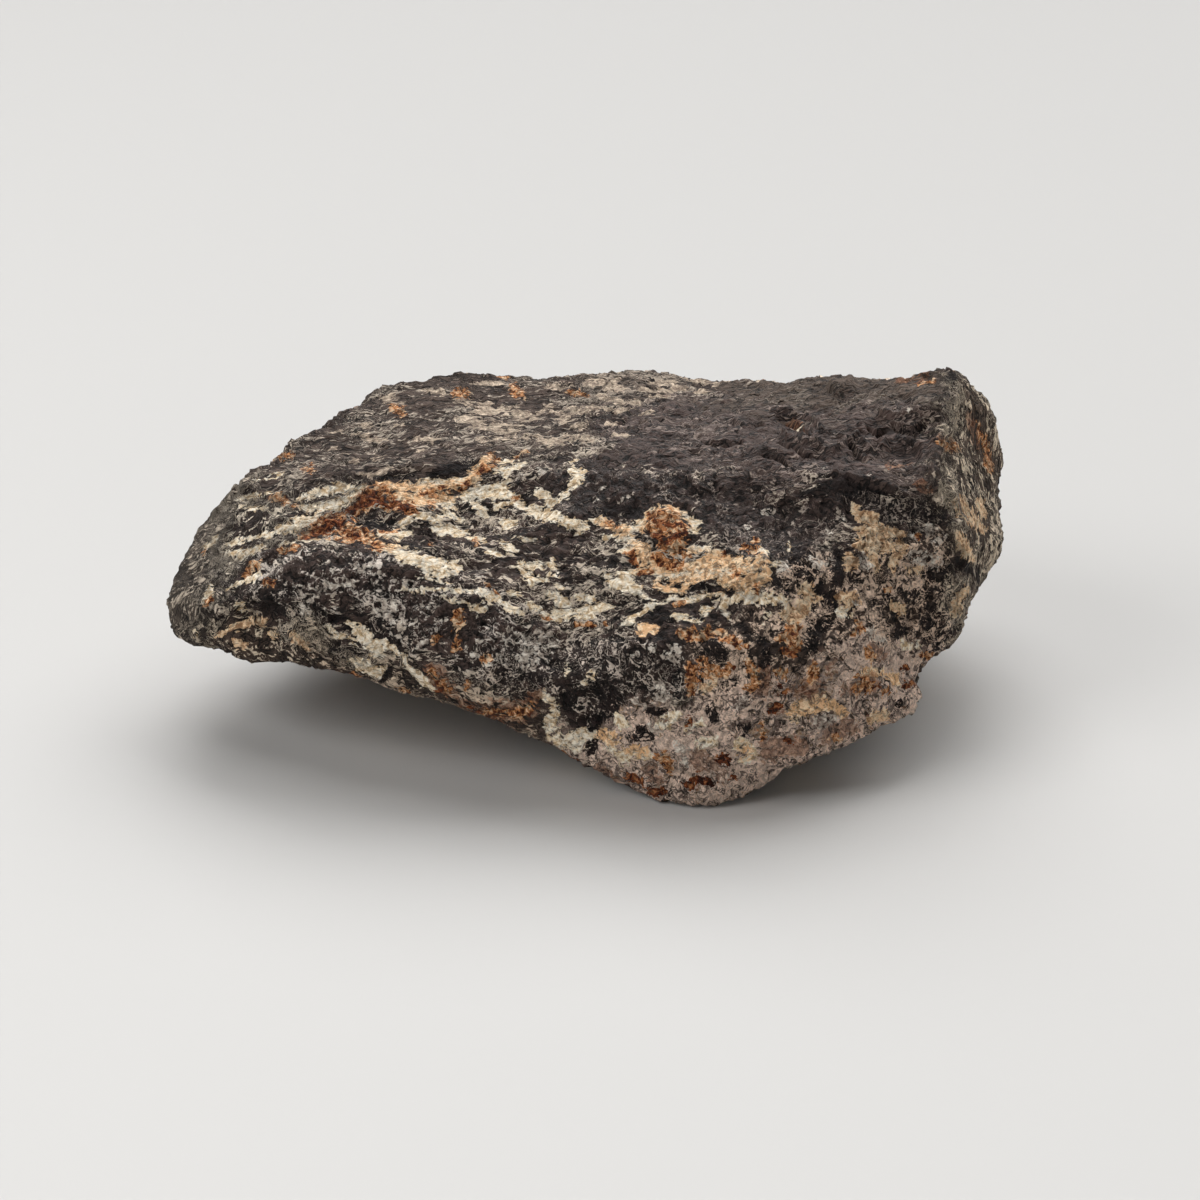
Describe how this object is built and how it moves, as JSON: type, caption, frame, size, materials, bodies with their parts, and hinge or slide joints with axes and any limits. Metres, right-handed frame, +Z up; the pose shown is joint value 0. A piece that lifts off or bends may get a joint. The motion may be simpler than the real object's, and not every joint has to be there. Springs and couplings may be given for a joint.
{
  "type": "chondrite meteorite",
  "caption": "Whole angular stone meteorite with dark weathered crust, cream lime and rust patches, resting on a small flat spot.",
  "frame": {"origin": "on the surface that the stone rests on, under the middle of its length and depth", "axes": "+X along the stone's length towards its high, blunt end; +Y from the broken front face to the back; +Z up"},
  "size_m": [0.0854, 0.0628, 0.0321],
  "materials": {
    "weathered_crust": "rough dark brown fusion crust with cream lime and rust patches"
  },
  "bodies": {
    "root": {"meteorite_stone": "weathered_crust"}
  },
  "joints": []
}
